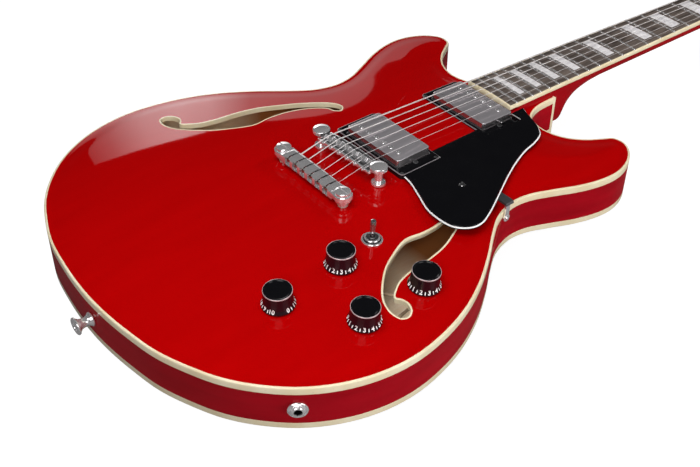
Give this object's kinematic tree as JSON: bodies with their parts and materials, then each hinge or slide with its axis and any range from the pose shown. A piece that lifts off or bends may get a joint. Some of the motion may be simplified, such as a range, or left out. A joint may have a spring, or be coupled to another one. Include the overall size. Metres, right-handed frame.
{
  "type": "semi-hollow electric guitar",
  "caption": "Thinline semi-hollow electric guitar with two cutaways and f-holes, working machine heads, knobs, toggle, adjustable bridge, stop tailpiece and pickups.",
  "frame": {"origin": "middle of the footprint at the lowest point, with the guitar on its back", "axes": "+X from the body towards the headstock, +Y towards the bass side, +Z out of the top"},
  "size_m": [1.086, 0.408, 0.1099],
  "materials": {
    "red_top": "deep gloss clear lacquer over red",
    "red_back": "gloss lacquer",
    "red_sides": "gloss lacquer",
    "bare_maple": "bare",
    "cream_binding": "polished",
    "red_neck": "gloss lacquer",
    "steel": "plain",
    "dark_board": "oiled, with nickel silver frets",
    "bone": "satin",
    "black_plastic": "gloss",
    "black_metal": "satin black",
    "chrome": "polished",
    "control_metal": "plated",
    "string_steel": "plated wire",
    "knob_plastic": "gloss"
  },
  "bodies": {
    "guitar_body": {"top_plate": "red_top", "back_plate": "red_back", "rim": "red_sides", "centre_block": "bare_maple", "body_binding": "cream_binding", "neck": "red_neck", "truss_rod": "steel", "fretboard": "dark_board", "fretboard_binding": "cream_binding", "nut": "bone", "tuner_housing_1": "chrome", "tuner_housing_2": "chrome", "tuner_housing_3": "chrome", "tuner_housing_4": "chrome", "tuner_housing_5": "chrome", "tuner_housing_6": "chrome", "pickup_ring_bridge": "black_plastic", "pickup_ring_neck": "black_plastic", "pickguard": "black_plastic", "pickguard_bracket": "black_metal", "control_harness": "control_metal", "strap_button_butt": "chrome", "strap_button_heel": "chrome", "string_1": "string_steel", "string_2": "string_steel", "string_3": "string_steel", "string_4": "string_steel", "string_5": "string_steel", "string_6": "string_steel"},
    "tuner_key_1": {"tuner_key_1": "chrome"},
    "tuner_post_1": {"tuner_post_1": "chrome"},
    "tuner_key_2": {"tuner_key_2": "chrome"},
    "tuner_post_2": {"tuner_post_2": "chrome"},
    "tuner_key_3": {"tuner_key_3": "chrome"},
    "tuner_post_3": {"tuner_post_3": "chrome"},
    "tuner_key_4": {"tuner_key_4": "chrome"},
    "tuner_post_4": {"tuner_post_4": "chrome"},
    "tuner_key_5": {"tuner_key_5": "chrome"},
    "tuner_post_5": {"tuner_post_5": "chrome"},
    "tuner_key_6": {"tuner_key_6": "chrome"},
    "tuner_post_6": {"tuner_post_6": "chrome"},
    "knob_neck_tone": {"knob_neck_tone": "knob_plastic"},
    "knob_neck_volume": {"knob_neck_volume": "knob_plastic"},
    "knob_bridge_volume": {"knob_bridge_volume": "knob_plastic"},
    "knob_bridge_tone": {"knob_bridge_tone": "knob_plastic"},
    "toggle_lever": {"toggle_lever": "chrome"},
    "bridge": {"bridge_body": "chrome"},
    "bridge_post_treble": {"bridge_post_treble": "chrome"},
    "bridge_post_bass": {"bridge_post_bass": "chrome"},
    "saddle_1": {"saddle_1": "chrome"},
    "saddle_2": {"saddle_2": "chrome"},
    "saddle_3": {"saddle_3": "chrome"},
    "saddle_4": {"saddle_4": "chrome"},
    "saddle_5": {"saddle_5": "chrome"},
    "saddle_6": {"saddle_6": "chrome"},
    "tailpiece": {"tailpiece": "chrome"},
    "tailpiece_stud_treble": {"tailpiece_stud_treble": "chrome"},
    "tailpiece_stud_bass": {"tailpiece_stud_bass": "chrome"},
    "pickup_bridge": {"pickup_bridge": "chrome"},
    "pickup_neck": {"pickup_neck": "chrome"}
  },
  "joints": [
    {"name": "tuner_key_1_turn", "type": "hinge", "parent": "guitar_body", "child": "tuner_key_1", "pos_m": [0.40334, -0.04279, 0.03589], "axis": [0, -1, 0], "continuous": true},
    {"name": "tuner_post_1_turn", "type": "hinge", "parent": "guitar_body", "child": "tuner_post_1", "pos_m": [0.40864, -0.02204, 0.05335], "axis": [0.2905, 0, 0.9569], "continuous": true},
    {"name": "tuner_key_2_turn", "type": "hinge", "parent": "guitar_body", "child": "tuner_key_2", "pos_m": [0.44186, -0.04482, 0.02419], "axis": [0, -1, 0], "continuous": true},
    {"name": "tuner_post_2_turn", "type": "hinge", "parent": "guitar_body", "child": "tuner_post_2", "pos_m": [0.44716, -0.02407, 0.04166], "axis": [0.2905, 0, 0.9569], "continuous": true},
    {"name": "tuner_key_3_turn", "type": "hinge", "parent": "guitar_body", "child": "tuner_key_3", "pos_m": [0.48038, -0.04642, 0.0125], "axis": [0, -1, 0], "continuous": true},
    {"name": "tuner_post_3_turn", "type": "hinge", "parent": "guitar_body", "child": "tuner_post_3", "pos_m": [0.48569, -0.02567, 0.02996], "axis": [0.2905, 0, 0.9569], "continuous": true},
    {"name": "tuner_key_4_turn", "type": "hinge", "parent": "guitar_body", "child": "tuner_key_4", "pos_m": [0.48038, 0.04642, 0.0125], "axis": [0, 1, 0], "continuous": true},
    {"name": "tuner_post_4_turn", "type": "hinge", "parent": "guitar_body", "child": "tuner_post_4", "pos_m": [0.48569, 0.02567, 0.02996], "axis": [0.2905, 0, 0.9569], "continuous": true},
    {"name": "tuner_key_5_turn", "type": "hinge", "parent": "guitar_body", "child": "tuner_key_5", "pos_m": [0.44186, 0.04482, 0.02419], "axis": [0, 1, 0], "continuous": true},
    {"name": "tuner_post_5_turn", "type": "hinge", "parent": "guitar_body", "child": "tuner_post_5", "pos_m": [0.44716, 0.02407, 0.04166], "axis": [0.2905, 0, 0.9569], "continuous": true},
    {"name": "tuner_key_6_turn", "type": "hinge", "parent": "guitar_body", "child": "tuner_key_6", "pos_m": [0.40334, 0.04279, 0.03589], "axis": [0, 1, 0], "continuous": true},
    {"name": "tuner_post_6_turn", "type": "hinge", "parent": "guitar_body", "child": "tuner_post_6", "pos_m": [0.40864, 0.02204, 0.05335], "axis": [0.2905, 0, 0.9569], "continuous": true},
    {"name": "knob_neck_tone_turn", "type": "hinge", "parent": "guitar_body", "child": "knob_neck_tone", "pos_m": [-0.4242, -0.10315, 0.0967], "axis": [-0.0439, -0.0387, 0.9983], "range_deg": [-150, 150]},
    {"name": "knob_neck_volume_turn", "type": "hinge", "parent": "guitar_body", "child": "knob_neck_volume", "pos_m": [-0.35986, -0.09831, 0.09795], "axis": [0.0091, -0.0362, 0.9993], "range_deg": [-150, 150]},
    {"name": "knob_bridge_volume_turn", "type": "hinge", "parent": "guitar_body", "child": "knob_bridge_volume", "pos_m": [-0.32135, -0.15431, 0.09379], "axis": [0.0343, -0.0806, 0.9962], "range_deg": [-150, 150]},
    {"name": "knob_bridge_tone_turn", "type": "hinge", "parent": "guitar_body", "child": "knob_bridge_tone", "pos_m": [-0.38352, -0.1563, 0.09459], "axis": [-0.0073, -0.0816, 0.9966], "range_deg": [-150, 150]},
    {"name": "toggle_swing", "type": "hinge", "parent": "guitar_body", "child": "toggle_lever", "pos_m": [-0.32072, -0.09016, 0.09311], "axis": [0.0005, 0.9993, 0.0375], "range_deg": [-12, 12]},
    {"name": "bridge_height", "type": "slide", "parent": "guitar_body", "child": "bridge", "axis": [0, 0, 1], "range_m": [0, 0.004], "deforming": ["string_1", "string_2", "string_3", "string_4", "string_5", "string_6"]},
    {"name": "bridge_post_treble_turn", "type": "hinge", "parent": "bridge", "child": "bridge_post_treble", "pos_m": [-0.26904, -0.037, 0.08492], "axis": [0, 0, 1], "range_deg": [-1850, 1850]},
    {"name": "bridge_post_bass_turn", "type": "hinge", "parent": "bridge", "child": "bridge_post_bass", "pos_m": [-0.27254, 0.037, 0.08495], "axis": [0, 0, 1], "range_deg": [-1850, 1850]},
    {"name": "saddle_1_slide", "type": "slide", "parent": "bridge", "child": "saddle_1", "axis": [0.9989, 0.0472, 0], "range_m": [-0.00555, 0.00115], "deforming": ["string_1"]},
    {"name": "saddle_2_slide", "type": "slide", "parent": "bridge", "child": "saddle_2", "axis": [0.9989, 0.0472, 0], "range_m": [-0.00455, 0.00215], "deforming": ["string_2"]},
    {"name": "saddle_3_slide", "type": "slide", "parent": "bridge", "child": "saddle_3", "axis": [0.9989, 0.0472, 0], "range_m": [-0.00335, 0.00335], "deforming": ["string_3"]},
    {"name": "saddle_4_slide", "type": "slide", "parent": "bridge", "child": "saddle_4", "axis": [0.9989, 0.0472, 0], "range_m": [-0.00435, 0.00235], "deforming": ["string_4"]},
    {"name": "saddle_5_slide", "type": "slide", "parent": "bridge", "child": "saddle_5", "axis": [0.9989, 0.0472, 0], "range_m": [-0.00355, 0.00315], "deforming": ["string_5"]},
    {"name": "saddle_6_slide", "type": "slide", "parent": "bridge", "child": "saddle_6", "axis": [0.9989, 0.0472, 0], "range_m": [-0.00235, 0.00435], "deforming": ["string_6"]},
    {"name": "tailpiece_height", "type": "slide", "parent": "guitar_body", "child": "tailpiece", "axis": [0, 0, 1], "range_m": [-0.003, 0.003], "deforming": ["string_1", "string_2", "string_3", "string_4", "string_5", "string_6"]},
    {"name": "tailpiece_stud_treble_turn", "type": "hinge", "parent": "tailpiece", "child": "tailpiece_stud_treble", "pos_m": [-0.31134, -0.041, 0.08572], "axis": [0, 0, 1], "range_deg": [-1100, 1100]},
    {"name": "tailpiece_stud_bass_turn", "type": "hinge", "parent": "tailpiece", "child": "tailpiece_stud_bass", "pos_m": [-0.31134, 0.041, 0.08572], "axis": [0, 0, 1], "range_deg": [-1100, 1100]},
    {"name": "pickup_bridge_height", "type": "slide", "parent": "guitar_body", "child": "pickup_bridge", "axis": [0.0168, 0, 0.9999], "range_m": [-0.003, 0.002]},
    {"name": "pickup_neck_height", "type": "slide", "parent": "guitar_body", "child": "pickup_neck", "axis": [0.0504, 0, 0.9987], "range_m": [-0.003, 0.002]}
  ],
  "couplings": [
    {"joint": "tuner_post_1_turn", "follows": "tuner_key_1_turn", "ratio": -0.071429},
    {"joint": "tuner_post_2_turn", "follows": "tuner_key_2_turn", "ratio": -0.071429},
    {"joint": "tuner_post_3_turn", "follows": "tuner_key_3_turn", "ratio": -0.071429},
    {"joint": "tuner_post_4_turn", "follows": "tuner_key_4_turn", "ratio": 0.071429},
    {"joint": "tuner_post_5_turn", "follows": "tuner_key_5_turn", "ratio": 0.071429},
    {"joint": "tuner_post_6_turn", "follows": "tuner_key_6_turn", "ratio": 0.071429},
    {"joint": "bridge_post_treble_turn", "follows": "bridge_height", "rad_per_m": 7854},
    {"joint": "bridge_post_bass_turn", "follows": "bridge_height", "rad_per_m": 7854},
    {"joint": "tailpiece_stud_treble_turn", "follows": "tailpiece_height", "rad_per_m": 6283.2},
    {"joint": "tailpiece_stud_bass_turn", "follows": "tailpiece_height", "rad_per_m": 6283.2}
  ]
}
